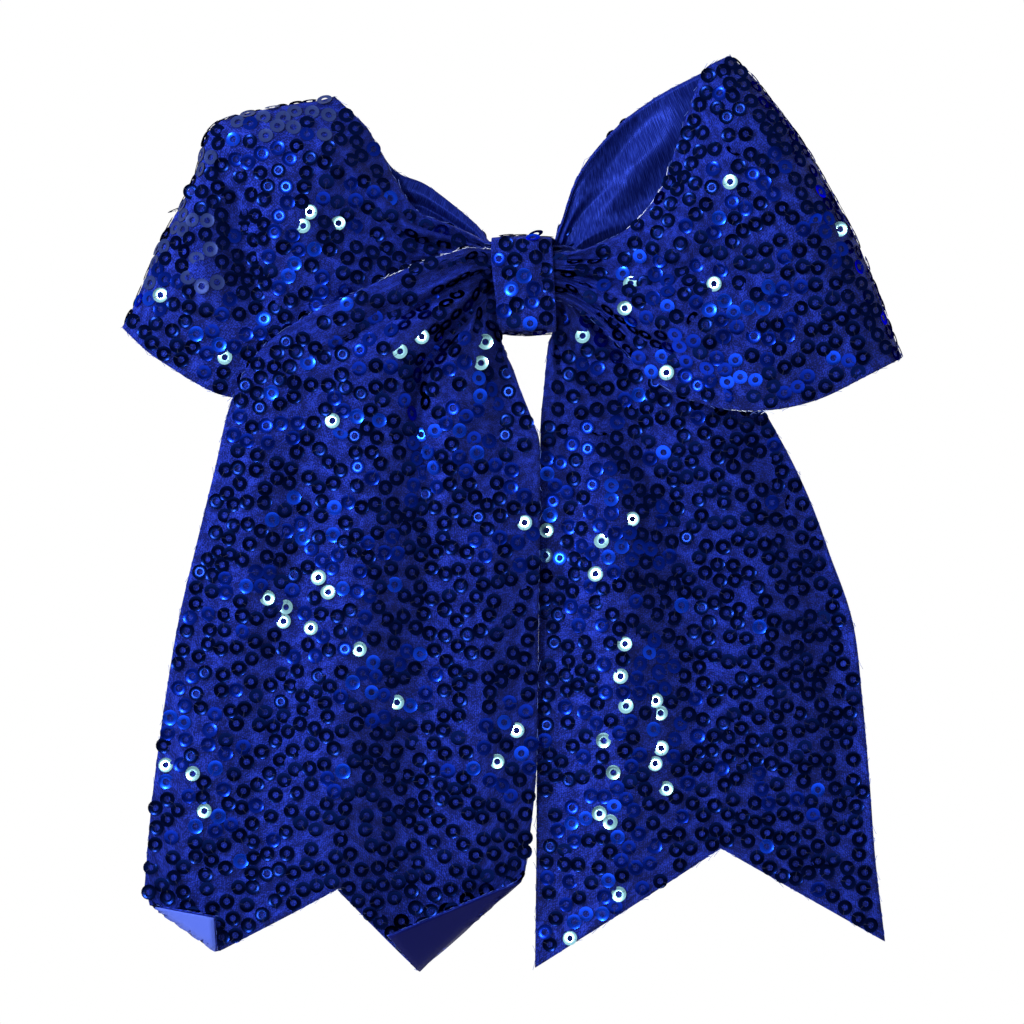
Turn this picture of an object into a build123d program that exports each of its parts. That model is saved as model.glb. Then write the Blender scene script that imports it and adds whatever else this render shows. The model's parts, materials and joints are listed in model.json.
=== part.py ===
"""Cheer hair bow: a lined ribbon in two loops and two tails, a knot wrap and a spring hair clip.

Worn orientation, in millimetres: +Z up, the bow faces -Y, and the hair is at +Y.
The origin is where the clip's teeth meet its upper arm, straight behind the knot.

Every ribbon section is a loft through stations. A station is one straight line across the ribbon,
given by its two ends in the front view, plus how far the cloth stands out from that line.
"""

import os
from math import cos, hypot, pi, radians, sin

from build123d import *

os.makedirs("parts", exist_ok=True)

# Cloth
FACE_THICKNESS = 0.5  # knitted cloth that carries the sequins
LINING_THICKNESS = 0.3  # satin
LAYER_GAP = 0.06
RIBBON_LAYERS = {
    "face": (0.0, FACE_THICKNESS),
    "lining": (FACE_THICKNESS + LAYER_GAP, FACE_THICKNESS + LAYER_GAP + LINING_THICKNESS),
}

# Knot: a rounded box round the gathered ribbon
KNOT_LEFT_X = -8.8
KNOT_RIGHT_X = 4.8
KNOT_HEIGHT = 21.0
KNOT_DEPTH = 14.0
KNOT_CORNER = 5.0
KNOT_Y = -10.6
THREAD_DIAMETER = 0.6
THREAD_TURNS = 9
THREAD_PITCH = 0.75
GATHER_HALF_HEIGHT = 8.0
GATHER_LEFT_X = -5.9
GATHER_RIGHT_X = 2.5
GATHER_MIDDLE_X = (GATHER_LEFT_X + GATHER_RIGHT_X) / 2
GATHER_PLEATS = 9
PLEAT_DEPTH = 1.1

# Depth of the three strands of ribbon where they pass through the knot
FRONT_STRAND_Y = -14.8  # left tail to right loop's front
MIDDLE_STRAND_Y = -11.2  # left loop's front to right tail
BACK_STRAND_Y = -6.8  # left loop's back to right loop's back
STRAND_HALF_HEIGHT = 8.4
STRAND_BULGE = 0.3
LEFT_STRAND_X = (-6.0, -9.0)  # where a strand ends inside the wrap, and where it comes out of it
RIGHT_STRAND_X = (2.6, 5.0)

# Tails: the hanging part swings about a line just under the loops
HINGE_Z = -32.0
HINGE_GAP = 0.35
TAIL_FOOT_Z = -151.0
LEFT_HINGE_Y = -20.0
RIGHT_HINGE_Y = -13.5
TAIL_WAVE = 2.6
CUT_REACH = 60.0
FOLD_TURNS = (-65, -40, -20, 0, 20, 40, 65)  # stations round a loop's outer end, in degrees

# Clip
CLIP_WIDTH = 8.0
ARM_THICKNESS = 0.7
ARM_CORNER = 2.5
ARM_Y = -1.2  # front side of the clip's upper arm
CLIP_TIP_X = -28.0
CLIP_TAIL_X = 25.0
PIN_X = 11.0
PIN_Y = 2.0
PIN_RADIUS = 0.8
PIN_CLEARANCE = 0.05
PIN_HEAD_THICKNESS = 0.4
PIN_HEAD_RIM = 0.5
EAR_THICKNESS = 0.6
EAR_RADIUS = 2.0
EAR_CLEARANCE = 0.1
TOOTH_PITCH = 2.0
TOOTH_DEPTH = 1.0
TOOTH_TIP = 0.4
TEETH_END = 8.0  # how far from the pin the teeth stop
MOUTH_Y = 0.1
JAW_TOP_Y = 3.0
JAW_STEP = 1.9  # rise of the lower jaw's plate where it passes over the spring
HANDLE_RISE = 6.5
SPRING_WIRE = 0.7
SPRING_RADIUS = 1.7
SPRING_WHOLE_TURNS = 3
SPRING_LEG = 8.0
COIL_GAP = 0.06
HANDLE_SLOPE = 17.0  # degrees, handle against the upper arm
COVER_THICKNESS = 0.4
COVER_MARGIN = 0.5  # the cover is this much narrower than the clip, each side
COVER_UNDERSIDE = 16.0  # length of the cover's turn under the arm
COVER_TAIL_GAP = 4.0

# Felt pad and glue, from the knot's back to the clip's cover
GLUE_THICKNESS = 0.35
FELT_THICKNESS = 1.0
CONTACT_GAP = 0.05
KNOT_BACK_Y = KNOT_Y + KNOT_DEPTH / 2
PAD_GLUE_Y = KNOT_BACK_Y + CONTACT_GAP
FELT_Y = PAD_GLUE_Y + GLUE_THICKNESS + CONTACT_GAP
CLIP_GLUE_Y = FELT_Y + FELT_THICKNESS + CONTACT_GAP
FELT_RADIUS = 8.3
FELT_EDGE = 0.3
PAD_GLUE_SIZE = (13.0, 7.0)
PAD_GLUE_EDGE = 0.15
CLIP_GLUE_SIZE = (14.0, 7.0)
COVER_BACK_Y = ARM_Y - CONTACT_GAP
COVER_FRONT_Y = COVER_BACK_Y - COVER_THICKNESS

ACROSS = (0.0, 0.16, 0.32, 0.55, 0.78, 1.0)  # where the cloth is sampled across a ribbon


def shift(points, distance):
    """The same line moved to its right-hand side by a distance."""
    moved = []
    for i, (p, q) in enumerate(points):
        p0, q0 = points[max(i - 1, 0)]
        p1, q1 = points[min(i + 1, len(points) - 1)]
        length = hypot(p1 - p0, q1 - q0)
        moved.append((p + distance * (q1 - q0) / length, q - distance * (p1 - p0) / length))
    return moved


def station(start, end, heights, turn=-90.0, side=1, middle=0.0):
    """A plane and a line across the ribbon: heights stand outward, which is -Y at a turn of -90 degrees."""
    span = hypot(end[0] - start[0], end[1] - start[1])
    along = Vector((end[0] - start[0]) / span, 0, (end[1] - start[1]) / span)
    away = Vector(-side * along.Z, 0, side * along.X)
    outward = away * cos(radians(turn)) + Vector(0, 1, 0) * sin(radians(turn))
    plane = Plane(origin=(start[0], middle, start[1]), x_dir=along, z_dir=along.cross(outward))
    return plane, [(s * span, h) for s, h in zip(ACROSS, heights)]


def bulged(edge, bulge):
    """Heights that rise from the ribbon's two edges to its middle."""
    return [edge + bulge * 4 * s * (1 - s) for s in ACROSS]


def panel(lines, back=False):
    """Stations of a flat stretch: each line is (start, end, depth of its edges, bulge)."""
    turn = 90.0 if back else -90.0
    return [station(a, b, bulged(y if back else -y, bulge), turn) for a, b, y, bulge in lines]


def knot_lines(ends_x, y, upward=False):
    """A strand's lines at the knot, from its end inside the wrap to where it comes out."""
    z = -STRAND_HALF_HEIGHT if upward else STRAND_HALF_HEIGHT
    return [((x, z), (x, -z), y, STRAND_BULGE) for x in ends_x]


def fold(start, end, mid_y, radius, depths, ridge, side):
    """Stations round a loop's outer end: an elliptic turn about the line from start to end.

    depths are the front's and the back's heights above the turn's middle, and ridge is how far
    the crease across the fold stands out, and where it is across the ribbon.
    """
    stations = []
    rise, place = ridge
    for turn in FOLD_TURNS:
        heights = []
        for s in ACROSS:
            peak = s / place if s < place else (1 - s) / (1 - place)
            outer = radius + rise * peak
            deep = depths[0] if turn < 0 else depths[1]
            deep = deep[0] + deep[1] * 4 * s * (1 - s)
            heights.append(outer * deep / hypot(deep * cos(radians(turn)), outer * sin(radians(turn))))
        stations.append(station(start, end, heights, turn, side, mid_y))
    return stations


def ribbon_layer(stations, layer):
    """Loft one layer of the ribbon through its stations."""
    near, far = RIBBON_LAYERS[layer]
    sections = []
    for plane, line in stations:
        with BuildSketch(plane) as section:
            with BuildLine():
                outer = Spline(*shift(line, near))
                inner = Spline(*shift(line, far))
                Line(outer @ 0, inner @ 0)
                Line(outer @ 1, inner @ 1)
            make_face()
        sections.append(section.sketch)
    loft(sections, ruled=True)


def left_loop_stations():
    pivot = (-36.2, 34.5), (-83.2, -15.5)
    mid_y, radius = -10.5, 8.0
    front = panel(
        [
            *knot_lines(LEFT_STRAND_X, MIDDLE_STRAND_Y),
            ((-19, 13), (-24, -15), -13.0, 2.5),
            ((-29, 22), (-52, -24), -15.0, 4.0),
            ((-32.5, 28), (-68, -24), -16.5, 3.5),
            (*pivot, mid_y - 7.0, 2.5),
        ]
    )
    turn = fold(*pivot, mid_y, radius, ((7.0, 2.5), (6.5, 2.0)), (16.0, 0.32), side=-1)
    back = panel(
        [
            (*pivot, mid_y + 6.5, 2.0),
            ((-30, 25), (-62, -24), -4.8, 1.0),
            ((-23, 22), (-38, -20), -5.4, 0.6),
            ((-13, 13.5), (-18, -13), -6.4, 0.4),
            *reversed(knot_lines(LEFT_STRAND_X, BACK_STRAND_Y)),
        ],
        back=True,
    )
    return front + turn + back


def right_loop_stations():
    pivot = (32.4, 44.9), (71.4, -20.6)
    mid_y, radius = -13.5, 10.0
    front = panel(
        [
            *knot_lines(RIGHT_STRAND_X, FRONT_STRAND_Y),
            ((21, 12), (25, -19), -18.0, 3.0),
            ((29, 23), (42, -27), -20.0, 4.5),
            (*pivot, mid_y - 9.0, 4.0),
        ]
    )
    turn = fold(*pivot, mid_y, radius, ((9.0, 4.0), (9.0, 2.5)), (2.0, 0.55), side=1)
    back = panel(
        [
            (*pivot, mid_y + 9.0, 2.5),
            ((24, 40), (50, -24), -4.6, 1.2),
            ((16.5, 33), (28, -19), -5.2, 0.6),
            ((10, 20), (13, -13), -6.2, 0.4),
            *reversed(knot_lines(RIGHT_STRAND_X, BACK_STRAND_Y)),
        ],
        back=True,
    )
    return front + turn + back


def left_tail_top_stations():
    """From the knot's left side, over the left loop, down to the hinge line."""
    foot = HINGE_Z + HINGE_GAP
    return panel(
        [
            *knot_lines(LEFT_STRAND_X, FRONT_STRAND_Y),
            ((-22, 5), (-7.5, -14), -18.0, 1.5),
            ((-36, -1), (-5, -20), -20.5, 1.5),
            ((-52, -9), (-2, -26), -21.5, 1.5),
            ((-62, -19), (0, -30), -21.5, 1.0),
            ((-67.2, foot), (1.25, foot), LEFT_HINGE_Y, 0.0),
        ]
    )


def right_tail_top_stations():
    """From the knot's right side, down through the right loop, to the hinge line."""
    foot = HINGE_Z + HINGE_GAP
    return panel(
        [
            *knot_lines(RIGHT_STRAND_X, MIDDLE_STRAND_Y, upward=True),
            ((4.2, -13), (19, 0), -12.0, 0.5),
            ((2.9, -20), (33, -8), -12.5, 0.5),
            ((2.2, -26), (44, -18), -13.0, 0.5),
            ((1.95, foot), (52.5, foot), RIGHT_HINGE_Y, 0.0),
        ]
    )


def hanging_stations(left_edge, right_edge, hinge_y, phase):
    """Level lines down a tail: the edges are (x, z) from the hinge to the foot, and the cloth waves below."""
    stations = []
    for number, (start, end) in enumerate(zip(left_edge, right_edge)):
        swell = TAIL_WAVE * min(number, 2) / 2
        heights = [-hinge_y + swell * sin(2 * pi * (1.25 * s + 0.12 * number) + phase) for s in ACROSS]
        stations.append(station(start, end, heights))
    return stations


def cut_foot(outline):
    """Cut the swallow tail: the outline runs along the cut, from the left edge to the right."""
    below = TAIL_FOOT_Z - CUT_REACH
    with BuildSketch(Plane.XZ) as cut:
        with BuildLine():
            Polyline(*outline, (outline[-1][0], below), (outline[0][0], below), close=True)
        make_face()
    extrude(cut.sketch, amount=CUT_REACH, both=True, mode=Mode.SUBTRACT)


LEFT_TAIL_EDGES = (
    ((-67.3, HINGE_Z - HINGE_GAP), (-74, -60), (-79.5, -90), (-83.4, -120), (-86, TAIL_FOOT_Z)),
    ((1.25, HINGE_Z - HINGE_GAP), (0.9, -60), (0.5, -90), (0.1, -120), (-0.3, TAIL_FOOT_Z)),
)
RIGHT_TAIL_EDGES = (
    ((1.95, HINGE_Z - HINGE_GAP), (1.6, -60), (1.2, -90), (0.8, -120), (0.4, TAIL_FOOT_Z)),
    ((53, HINGE_Z - HINGE_GAP), (67, -60), (72, -90), (74.5, -120), (77.7, TAIL_FOOT_Z)),
)
LEFT_TAIL_CUT = ((-92, -126.5), (-68, -144), (-42.5, -131.5), (-24, -148), (3, -118.5))
RIGHT_TAIL_CUT = ((-1, -150.2), (41, -123), (79, -144.6))


def knot_plane(x):
    """The plane across the knot at x, with its own axes along +Y and +Z."""
    return Plane(origin=(x, KNOT_Y, 0), x_dir=(0, 1, 0), z_dir=(1, 0, 0))


def knot_section(inset, mode=Mode.ADD):
    """The knot's rounded outline, inset from its outer side."""
    RectangleRounded(KNOT_DEPTH - 2 * inset, KNOT_HEIGHT - 2 * inset, KNOT_CORNER - inset, mode=mode)


def knot_layer(layer):
    """One layer of the wrap, closed round the gathers."""
    near, far = RIBBON_LAYERS[layer]
    with BuildSketch(knot_plane(KNOT_LEFT_X)) as ring:
        knot_section(near)
        knot_section(far, mode=Mode.SUBTRACT)
    extrude(ring.sketch, amount=KNOT_RIGHT_X - KNOT_LEFT_X)


def save(builder, label):
    builder.part.label = label
    export_step(builder.part, f"parts/{label}.step")


for LAYER in RIBBON_LAYERS:
    with BuildPart() as left_loop:
        ribbon_layer(left_loop_stations(), LAYER)
    save(left_loop, f"left_loop_{LAYER}")

    with BuildPart() as right_loop:
        ribbon_layer(right_loop_stations(), LAYER)
    save(right_loop, f"right_loop_{LAYER}")

    with BuildPart() as left_tail_top:
        ribbon_layer(left_tail_top_stations(), LAYER)
    save(left_tail_top, f"left_tail_top_{LAYER}")

    with BuildPart() as right_tail_top:
        ribbon_layer(right_tail_top_stations(), LAYER)
    save(right_tail_top, f"right_tail_top_{LAYER}")

    with BuildPart() as left_tail:
        ribbon_layer(hanging_stations(*LEFT_TAIL_EDGES, LEFT_HINGE_Y, phase=0.4), LAYER)
        cut_foot(LEFT_TAIL_CUT)
    save(left_tail, f"left_tail_{LAYER}")

    with BuildPart() as right_tail:
        ribbon_layer(hanging_stations(*RIGHT_TAIL_EDGES, RIGHT_HINGE_Y, phase=2.2), LAYER)
        cut_foot(RIGHT_TAIL_CUT)
    save(right_tail, f"right_tail_{LAYER}")

    with BuildPart() as knot_wrap:
        knot_layer(LAYER)
    save(knot_wrap, f"knot_wrap_{LAYER}")


def pleat_line(centre_y):
    """A zigzag down one gathered strand."""
    steps = 2 * GATHER_PLEATS
    line = []
    for i in range(steps + 1):
        line.append((centre_y + PLEAT_DEPTH * (-1) ** i, GATHER_HALF_HEIGHT * (1 - 2 * i / steps)))
    return line


with BuildPart() as ribbon_pinch:
    with BuildSketch(Plane.YZ.offset(GATHER_LEFT_X)):
        for CENTRE_Y in (FRONT_STRAND_Y + 0.8, MIDDLE_STRAND_Y + 0.5, BACK_STRAND_Y - 0.7):
            with BuildLine() as pleats:
                Polyline(*pleat_line(CENTRE_Y))
            trace(pleats.line, line_width=FACE_THICKNESS)
    extrude(amount=GATHER_RIGHT_X - GATHER_LEFT_X)
save(ribbon_pinch, "ribbon_pinch")

THREAD_INSET = RIBBON_LAYERS["lining"][1] + CONTACT_GAP + THREAD_DIAMETER / 2

with BuildPart() as binding_thread:
    for TURN in range(THREAD_TURNS):
        TURN_X = GATHER_MIDDLE_X + (TURN - (THREAD_TURNS - 1) / 2) * THREAD_PITCH
        with BuildSketch(knot_plane(TURN_X), mode=Mode.PRIVATE) as outline:
            knot_section(THREAD_INSET)
        with BuildSketch(Plane(origin=(TURN_X, KNOT_Y, KNOT_HEIGHT / 2 - THREAD_INSET), z_dir=(0, 1, 0))):
            Circle(THREAD_DIAMETER / 2)
        sweep(path=outline.sketch.faces()[0].outer_wire())
save(binding_thread, "binding_thread")

with BuildPart() as pad_glue:
    with BuildSketch(Plane.XZ.offset(-PAD_GLUE_Y - GLUE_THICKNESS)):
        with Locations((GATHER_MIDDLE_X, 0)):
            SlotOverall(*PAD_GLUE_SIZE)
    extrude(amount=GLUE_THICKNESS)
    fillet(pad_glue.faces().sort_by(Axis.Y)[0].edges(), PAD_GLUE_EDGE)
save(pad_glue, "pad_glue")

with BuildPart() as felt_pad:
    with BuildSketch(Plane.XZ.offset(-FELT_Y - FELT_THICKNESS)):
        with Locations((GATHER_MIDDLE_X, 0)):
            Circle(FELT_RADIUS)
    extrude(amount=FELT_THICKNESS)
    fillet(felt_pad.edges().filter_by(GeomType.CIRCLE), FELT_EDGE)
save(felt_pad, "felt_pad")

with BuildPart() as clip_glue:
    with BuildSketch(Plane.XZ.offset(CONTACT_GAP - COVER_FRONT_Y)):
        with Locations((GATHER_MIDDLE_X, 0)):
            SlotOverall(*CLIP_GLUE_SIZE)
    extrude(amount=COVER_FRONT_Y - CONTACT_GAP - CLIP_GLUE_Y)
save(clip_glue, "clip_glue")


def ears(z_outer, stem_y, radius):
    """Two round ears on the pin, one each side, on stems that reach the plate at stem_y."""
    for side in (-1, 1):
        with BuildSketch(Plane.XY.offset(side * z_outer - (EAR_THICKNESS if side > 0 else 0))) as ear:
            with Locations((PIN_X, PIN_Y)):
                Circle(radius)
            with Locations((PIN_X, (PIN_Y + stem_y) / 2)):
                Rectangle(2 * radius, abs(PIN_Y - stem_y))
            with Locations((PIN_X, PIN_Y)):
                Circle(PIN_RADIUS + PIN_CLEARANCE, mode=Mode.SUBTRACT)
        extrude(ear.sketch, amount=EAR_THICKNESS)


with BuildPart() as clip_upper_arm:
    with BuildSketch(Plane.XZ.offset(-ARM_Y - ARM_THICKNESS)):
        with Locations(((CLIP_TIP_X + CLIP_TAIL_X) / 2, 0)):
            RectangleRounded(CLIP_TAIL_X - CLIP_TIP_X, CLIP_WIDTH, ARM_CORNER)
    extrude(amount=ARM_THICKNESS)
    ears(CLIP_WIDTH / 2 - EAR_THICKNESS - EAR_CLEARANCE, ARM_Y + ARM_THICKNESS / 2, EAR_RADIUS)
save(clip_upper_arm, "clip_upper_arm")

COVER_INNER_Y = ARM_Y + ARM_THICKNESS + CONTACT_GAP
COVER_INNER_TIP_X = CLIP_TIP_X - CONTACT_GAP
COVER_TAIL_X = CLIP_TAIL_X - COVER_TAIL_GAP
COVER_UNDERSIDE_X = CLIP_TIP_X + COVER_UNDERSIDE

with BuildPart() as clip_cover:
    with BuildSketch(Plane.XY.offset(COVER_MARGIN - CLIP_WIDTH / 2)):
        with BuildLine():
            Polyline(
                (COVER_TAIL_X, COVER_FRONT_Y),
                (COVER_INNER_TIP_X - COVER_THICKNESS, COVER_FRONT_Y),
                (COVER_INNER_TIP_X - COVER_THICKNESS, COVER_INNER_Y + COVER_THICKNESS),
                (COVER_UNDERSIDE_X, COVER_INNER_Y + COVER_THICKNESS),
                (COVER_UNDERSIDE_X, COVER_INNER_Y),
                (COVER_INNER_TIP_X, COVER_INNER_Y),
                (COVER_INNER_TIP_X, COVER_BACK_Y),
                (COVER_TAIL_X, COVER_BACK_Y),
                close=True,
            )
        make_face()
    extrude(amount=CLIP_WIDTH - 2 * COVER_MARGIN)
save(clip_cover, "clip_cover")


def jaw_side():
    """Side wall of the lower jaw: saw teeth along its mouth, and a plain stretch up to the pin."""
    root_y = MOUTH_Y + TOOTH_DEPTH
    count = int((PIN_X - TEETH_END - CLIP_TIP_X) / TOOTH_PITCH)
    outline = []
    for i in range(count):
        x = CLIP_TIP_X + i * TOOTH_PITCH
        outline += [(x, MOUTH_Y), (x + TOOTH_PITCH - TOOTH_TIP, root_y)]
    outline += [(CLIP_TIP_X + count * TOOTH_PITCH, root_y), (PIN_X, root_y)]
    outline += [(PIN_X, JAW_TOP_Y), (CLIP_TIP_X, JAW_TOP_Y)]
    return outline


def side_wall(side):
    """The plane of one of the lower jaw's side walls: -1 is the lower wall and 1 the upper one."""
    return Plane.XY.offset(side * CLIP_WIDTH / 2 - (EAR_THICKNESS if side > 0 else 0))


JAW_PLATE = (
    (CLIP_TIP_X, JAW_TOP_Y - ARM_THICKNESS),
    (CLIP_TIP_X, JAW_TOP_Y),
    (PIN_X - 4.5, JAW_TOP_Y),
    (PIN_X - 1.0, JAW_TOP_Y + JAW_STEP),
    (CLIP_TAIL_X, JAW_TOP_Y + HANDLE_RISE),
    (CLIP_TAIL_X + 0.3, JAW_TOP_Y + HANDLE_RISE - ARM_THICKNESS),
    (PIN_X - 0.6, JAW_TOP_Y + JAW_STEP - ARM_THICKNESS),
    (PIN_X - 4.2, JAW_TOP_Y - ARM_THICKNESS),
)
JAW_GUSSET = (
    (PIN_X - 4.5, JAW_TOP_Y - 0.3),
    (PIN_X - 1.5, PIN_Y + 1.0),
    (PIN_X + 1.5, PIN_Y + 1.0),
    (PIN_X + 5.0, JAW_TOP_Y + 2.9),
    (PIN_X - 1.0, JAW_TOP_Y + 1.5),
)

with BuildPart() as clip_lower_jaw:
    for SIDE in (-1, 1):
        with BuildSketch(side_wall(SIDE)):
            with BuildLine():
                Polyline(*jaw_side(), close=True)
            make_face()
            with Locations((PIN_X, PIN_Y)):
                Circle(EAR_RADIUS)
                Circle(PIN_RADIUS + PIN_CLEARANCE, mode=Mode.SUBTRACT)
        extrude(amount=EAR_THICKNESS)
    with BuildSketch(Plane.XY.offset(-CLIP_WIDTH / 2)):
        with BuildLine():
            Polyline(*JAW_PLATE, close=True)
        make_face()
    extrude(amount=CLIP_WIDTH)
    for SIDE in (-1, 1):
        with BuildSketch(side_wall(SIDE)):
            with BuildLine():
                Polyline(*JAW_GUSSET, close=True)
            make_face()
        extrude(amount=EAR_THICKNESS)
save(clip_lower_jaw, "clip_lower_jaw")

PIN_HALF_LENGTH = CLIP_WIDTH / 2 + CONTACT_GAP

with BuildPart() as clip_pin:
    with BuildSketch(Plane.XY.offset(-PIN_HALF_LENGTH)):
        with Locations((PIN_X, PIN_Y)):
            Circle(PIN_RADIUS)
    extrude(amount=2 * PIN_HALF_LENGTH)
    for HEAD_Z in (-PIN_HALF_LENGTH - PIN_HEAD_THICKNESS, PIN_HALF_LENGTH):
        with BuildSketch(Plane.XY.offset(HEAD_Z)):
            with Locations((PIN_X, PIN_Y)):
                Circle(PIN_RADIUS + PIN_HEAD_RIM)
        extrude(amount=PIN_HEAD_THICKNESS)
save(clip_pin, "clip_pin")

# The spring's wire comes in along the handle, winds round the pin and leaves along the upper arm.
SPRING_ENTRY = 90 + HANDLE_SLOPE
COIL_PITCH = SPRING_WIRE + COIL_GAP
COIL_LENGTH = (SPRING_WHOLE_TURNS + (270 - SPRING_ENTRY) / 360) * COIL_PITCH
COIL_START = Location((PIN_X, PIN_Y, -COIL_LENGTH / 2), (0, 0, SPRING_ENTRY))
COIL = COIL_START * Helix(COIL_PITCH, COIL_LENGTH, SPRING_RADIUS)
HANDLE_WAY = (cos(radians(HANDLE_SLOPE)), sin(radians(HANDLE_SLOPE)), 0)

with BuildPart() as clip_spring:
    with BuildSketch(Plane(origin=COIL @ 0, z_dir=COIL % 0)):
        Circle(SPRING_WIRE / 2)
    sweep(path=COIL, is_frenet=True)
    for END, WAY in ((0, HANDLE_WAY), (1, (1, 0, 0))):
        with BuildSketch(Plane(origin=COIL @ END, z_dir=WAY).offset(-SPRING_WIRE / 8)):
            Circle(SPRING_WIRE / 2)
        extrude(amount=SPRING_LEG)
save(clip_spring, "clip_spring")
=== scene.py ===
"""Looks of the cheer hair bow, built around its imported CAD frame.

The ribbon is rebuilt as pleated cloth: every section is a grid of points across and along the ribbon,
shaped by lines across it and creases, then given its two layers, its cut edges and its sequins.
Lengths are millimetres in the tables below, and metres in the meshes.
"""

import itertools
import json
import math
import random

import bpy
import numpy as np
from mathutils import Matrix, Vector
from numpy.linalg import norm


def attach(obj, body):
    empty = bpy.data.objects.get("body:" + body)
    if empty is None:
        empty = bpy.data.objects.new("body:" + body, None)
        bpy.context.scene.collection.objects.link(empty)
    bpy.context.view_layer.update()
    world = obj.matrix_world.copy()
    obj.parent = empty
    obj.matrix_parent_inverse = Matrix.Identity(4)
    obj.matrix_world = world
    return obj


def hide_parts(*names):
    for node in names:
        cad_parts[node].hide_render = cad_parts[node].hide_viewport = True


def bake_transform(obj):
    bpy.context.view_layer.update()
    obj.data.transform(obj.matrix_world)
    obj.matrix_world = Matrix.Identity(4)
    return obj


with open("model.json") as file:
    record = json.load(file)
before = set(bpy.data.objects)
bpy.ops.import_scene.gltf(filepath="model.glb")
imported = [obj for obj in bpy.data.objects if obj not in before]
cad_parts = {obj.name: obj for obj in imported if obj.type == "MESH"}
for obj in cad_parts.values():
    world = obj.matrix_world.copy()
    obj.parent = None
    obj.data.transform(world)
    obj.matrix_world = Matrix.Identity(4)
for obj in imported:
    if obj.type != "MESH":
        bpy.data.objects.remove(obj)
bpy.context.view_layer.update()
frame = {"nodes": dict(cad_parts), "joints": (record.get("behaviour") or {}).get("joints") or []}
MM = 0.001
TURN = 2 * math.pi
MIDDLE = Vector((-0.0046, -0.016, -0.0496))  # the middle of the bow, in metres

# Cloth: the ribbon's and the wrap's widths in metres, and the layers' thicknesses
RIBBON = 0.0762
WRAP = 0.0145
FACE = 0.45
LINING = 0.25
BETWEEN = 0.08
PLEATS_REACH = 50  # nearer the knot than this, the layers are laid along evened normals
PLEATS_FADE = 22  # which come in over this distance

# Sequins: radii, the height of the rim, and how they are strewn
SEQUIN_HOLE = 0.7
SEQUIN_FLAT = 1.16
SEQUIN_RIM = 1.65
SEQUIN_CUP = 0.11
SEQUIN_SIDES = 16
SEQUIN_AREA = 9.4  # cloth per sequin, in square millimetres
SEQUIN_NEAREST = 2.9
SEQUIN_STEP = 3.3
SEQUIN_MARGIN = 1.55  # from a cut edge
CHAIN_LENGTHS = (3, 16)
CHAIN_TRIES = 7
MOST_MISSES = 4000
FACING = 0.6  # how squarely the cloth looks forward or back for its sequins to be turned to the viewer
AT_FRONT = -0.5  # the normal's y, below which a sequin can get a painted glint or a painted blue sheen near the listed spots
GLINT_REACH = 2.6
GLINT_SPREAD = 3.5  # degrees
LOOSE_SHARE = 0.012
LOOSE_SPREAD = 38  # degrees
NAVY, PAINTED_BLUE_SHEEN, PAINTED_GLINT, THREAD, PAINTED_PALE_REFLECTION, PAINTED_FAINT_SHEEN = range(6)  # slots of a sequin mesh: navy and thread are own colours, the other four are painted light

# The wrap round the knot: an upright barrel with squared corners
KNOT_LEFT = -8.8
KNOT_RIGHT = 4.8
KNOT_MIDDLE_Y = -10.6
KNOT_HALF_DEPTH = 6.8
KNOT_HALF_HEIGHT = 10.3
KNOT_SQUARENESS = 5
KNOT_HIDES = 11  # the height, up and down, within which the wrap hides the ribbon
PAD_FRONT_Y = -5.5
WRAP_ROOM = 1.5  # from the wrap's outside to the cloth inside it
LET_OUT = 5  # how far beside the wrap the cloth regains its full height

# Where the key light stands, and the way a sequin has to face to throw it at the viewer
KEY_WAY = Vector((-0.34, -0.90, 0.27)).normalized()
VIEW_WAY = Vector((0, -1, 0))
GLINT_WAY = np.array((KEY_WAY + VIEW_WAY).normalized())


# -------- grids of cloth

def unit(vector):
    return vector / norm(vector)


def hermite(t):
    """The shares of two neighbouring values and of their two slopes, at t from 0 to 1 between them."""
    return 2 * t**3 - 3 * t**2 + 1, t**3 - 2 * t**2 + t, -2 * t**3 + 3 * t**2, t**3 - t**2


def spread(keys, count):
    """Rows that run smoothly through the key rows, evenly spaced by how far the keys are apart."""
    keys = np.array(keys, float)
    gaps = norm(np.diff(keys[:, :4], axis=0), axis=1) + 1e-6
    at = np.concatenate([[0], np.cumsum(np.sqrt(gaps))])
    ways = np.gradient(keys, at, axis=0)
    out = []
    for x in np.linspace(0, at[-1], count):
        i = min(max(np.searchsorted(at, x, side="right") - 1, 0), len(at) - 2)
        width = at[i + 1] - at[i]
        a, b, c, d = hermite((x - at[i]) / width)
        out.append(a * keys[i] + b * width * ways[i] + c * keys[i + 1] + d * width * ways[i + 1])
    return np.array(out)


def across(values, s):
    """A smooth curve through values that are evenly spaced across the ribbon."""
    values = np.asarray(values, float)
    at = np.linspace(0, 1, len(values))
    slopes = np.gradient(values, at)
    i = np.clip(np.searchsorted(at, s, side="right") - 1, 0, len(at) - 2)
    width = at[i + 1] - at[i]
    a, b, c, d = hermite((s - at[i]) / width)
    return a * values[i] + b * width * slopes[i] + c * values[i + 1] + d * width * slopes[i + 1]


def panel_grid(keys, columns, count, back=False):
    """A stretch of ribbon: each key is x, z of one edge, x, z of the other, then depths across."""
    rows = spread(keys, count)
    grid = np.zeros((count, len(columns), 3))
    for r, row in enumerate(rows):
        x0, z0, x1, z1 = row[:4]
        grid[r, :, 0] = x0 + (x1 - x0) * columns
        grid[r, :, 1] = across(row[4:], columns) * (1 if back else -1)
        grid[r, :, 2] = z0 + (z1 - z0) * columns
    return grid


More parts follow.
